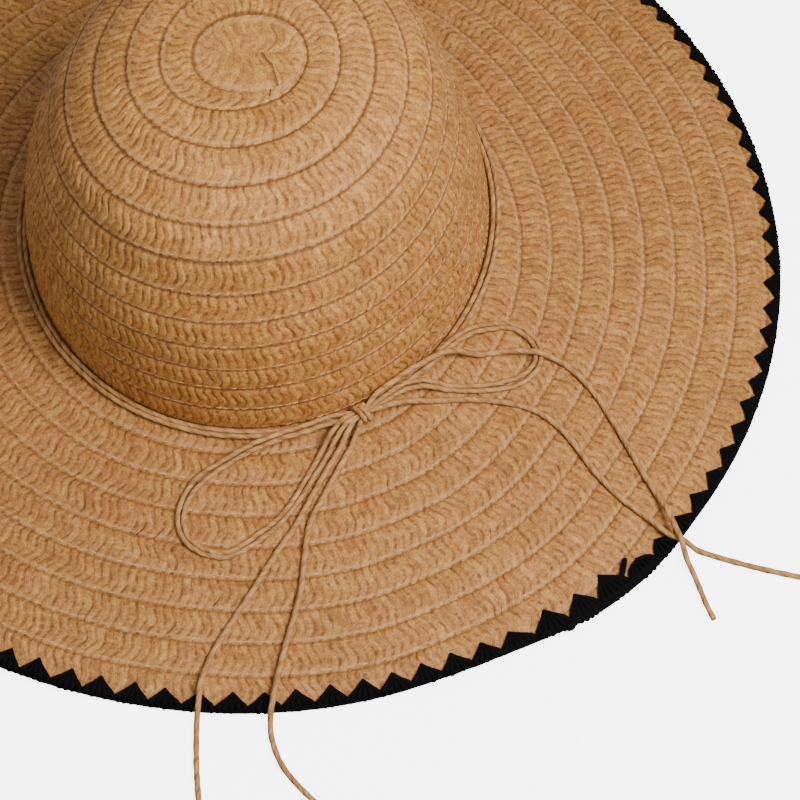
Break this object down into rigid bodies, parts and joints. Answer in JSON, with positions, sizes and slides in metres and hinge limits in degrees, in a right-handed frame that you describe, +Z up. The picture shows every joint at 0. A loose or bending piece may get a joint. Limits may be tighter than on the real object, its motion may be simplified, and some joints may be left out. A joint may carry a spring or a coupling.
{
  "type": "wide-brim hat",
  "caption": "Wide-brim sun hat of spiral-sewn natural straw braid, with a black stitched edge and a paper cord tied in a bow with long tails.",
  "frame": {"origin": "on the floor under the middle of the brim's circle, at the base of the edge trim", "axes": "+Z up out of the crown; -Y towards the side in front of the crown in the picture, with the bow at the front right; +X to the picture's right"},
  "size_m": [0.4269, 0.4638, 0.1419],
  "materials": {
    "straw": "natural paper straw braid, matt",
    "black_yarn": "twisted yarn, matt",
    "paper_cord": "twisted paper cord, matt"
  },
  "bodies": {
    "root": {"crown_tip": "straw", "crown_side": "straw", "brim": "straw", "edge_trim": "black_yarn", "crown_cord": "paper_cord", "bow_knot": "paper_cord", "bow_loop_left": "paper_cord", "bow_loop_right": "paper_cord", "tail_a": "paper_cord", "tail_b": "paper_cord", "tail_c": "paper_cord", "tail_d": "paper_cord"}
  },
  "joints": []
}
